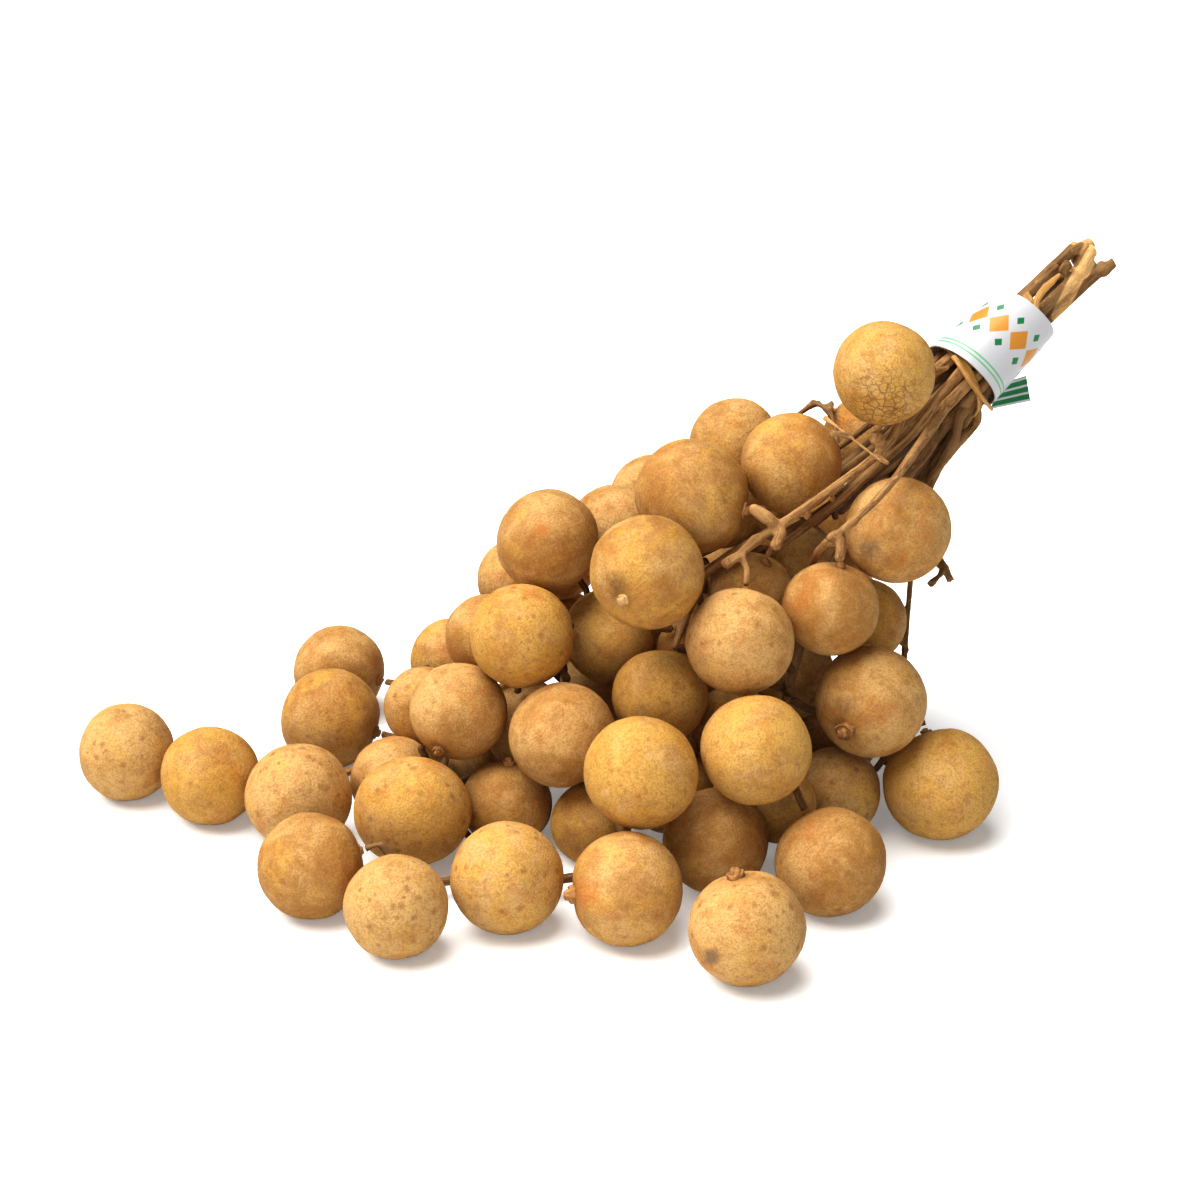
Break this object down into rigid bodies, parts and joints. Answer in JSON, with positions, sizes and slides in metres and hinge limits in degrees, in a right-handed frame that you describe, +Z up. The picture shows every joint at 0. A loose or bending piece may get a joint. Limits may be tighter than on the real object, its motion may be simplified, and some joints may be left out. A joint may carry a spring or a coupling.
{
  "type": "longan bunch",
  "caption": "Bunch of round tan longans on forked woody stems, the cut ends tied and wrapped in a paper band, lying in a heap.",
  "frame": {"origin": "on the table that the bunch lies on, under the middle of its bounding box", "axes": "+X along the bunch from its loose tip to the tied stem ends, +Y away from the side that the fruit faces, +Z up"},
  "size_m": [0.2832, 0.1756, 0.141],
  "materials": {
    "longan_skin": "matte",
    "stem_bark": "matte",
    "label_paper": "satin",
    "tie_straw": "matte"
  },
  "bodies": {
    "root": {"longan_01": "longan_skin", "longan_02": "longan_skin", "longan_03": "longan_skin", "longan_04": "longan_skin", "longan_05": "longan_skin", "longan_06": "longan_skin", "longan_07": "longan_skin", "longan_08": "longan_skin", "longan_09": "longan_skin", "longan_10": "longan_skin", "longan_11": "longan_skin", "longan_12": "longan_skin", "longan_13": "longan_skin", "longan_14": "longan_skin", "longan_15": "longan_skin", "longan_16": "longan_skin", "longan_17": "longan_skin", "longan_18": "longan_skin", "longan_19": "longan_skin", "longan_20": "longan_skin", "longan_21": "longan_skin", "longan_22": "longan_skin", "longan_23": "longan_skin", "longan_24": "longan_skin", "longan_25": "longan_skin", "longan_26": "longan_skin", "longan_27": "longan_skin", "longan_28": "longan_skin", "longan_29": "longan_skin", "longan_30": "longan_skin", "longan_31": "longan_skin", "longan_32": "longan_skin", "longan_33": "longan_skin", "longan_34": "longan_skin", "longan_35": "longan_skin", "longan_36": "longan_skin", "longan_37": "longan_skin", "longan_38": "longan_skin", "longan_39": "longan_skin", "longan_40": "longan_skin", "longan_41": "longan_skin", "longan_42": "longan_skin", "longan_43": "longan_skin", "longan_44": "longan_skin", "longan_45": "longan_skin", "longan_46": "longan_skin", "longan_47": "longan_skin", "longan_48": "longan_skin", "longan_49": "longan_skin", "longan_50": "longan_skin", "longan_51": "longan_skin", "longan_52": "longan_skin", "paper_band": "label_paper", "spray_front_stem": "stem_bark", "spray_outer_stem": "stem_bark", "spray_ridge_stem": "stem_bark", "spray_side_stem": "stem_bark", "spray_tip_stem": "stem_bark", "spray_upper_stem": "stem_bark", "tie_strip": "tie_straw"}
  },
  "joints": []
}
